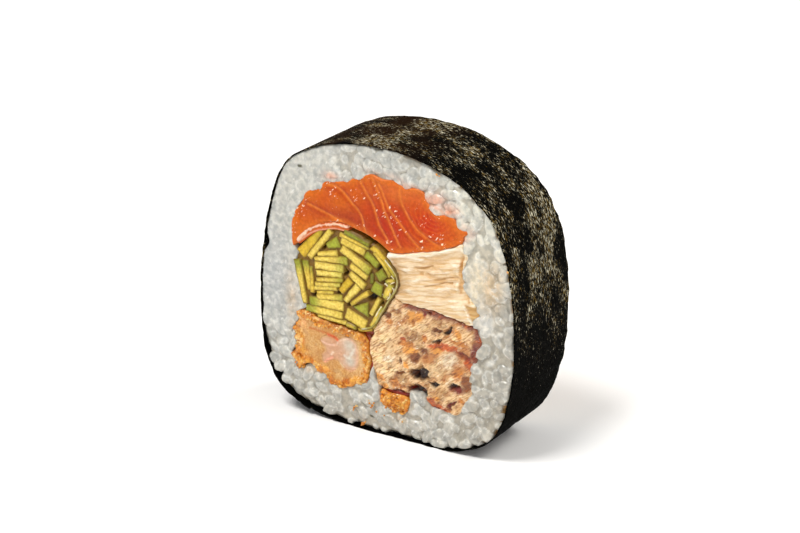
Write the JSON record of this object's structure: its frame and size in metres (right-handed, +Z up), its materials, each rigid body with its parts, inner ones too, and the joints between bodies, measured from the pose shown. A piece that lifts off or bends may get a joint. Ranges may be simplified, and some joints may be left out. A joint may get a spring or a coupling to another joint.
{
  "type": "thick seaweed-wrapped sushi roll slice",
  "caption": "Thick slice of a seaweed-wrapped sushi roll: a ring of rice round salmon, avocado, cream cheese, fried prawn and grilled eel.",
  "frame": {"origin": "middle of the footprint, on the surface that the roll rests on", "axes": "+Z up; the roll's own axis runs along Y and the shown cut face looks along -Y; +X is to the right of a person who looks at that face"},
  "size_m": [0.0611, 0.0234, 0.0624],
  "materials": {
    "nori": "roasted seaweed sheet, black with fine pale specks",
    "rice": "cooked short-grain rice, translucent and moist",
    "salmon": "raw salmon flesh with pale fat lines, wet",
    "cream_cheese": "cream cheese dragged by the knife, satin",
    "avocado": "cut avocado, yellow with green ends, satin",
    "fried_batter": "fried bread crumbs, golden and rough",
    "prawn": "cooked prawn flesh, pearly",
    "eel": "flaky grilled eel with a dark sweet glaze",
    "fried_crumbs": "loose fried crumbs, golden and rough"
  },
  "bodies": {
    "root": {"nori": "nori", "rice": "rice", "salmon": "salmon", "cream_cheese": "cream_cheese", "avocado": "avocado", "tempura_batter": "fried_batter", "prawn": "prawn", "eel": "eel", "batter_crumbs": "fried_crumbs"}
  },
  "joints": []
}
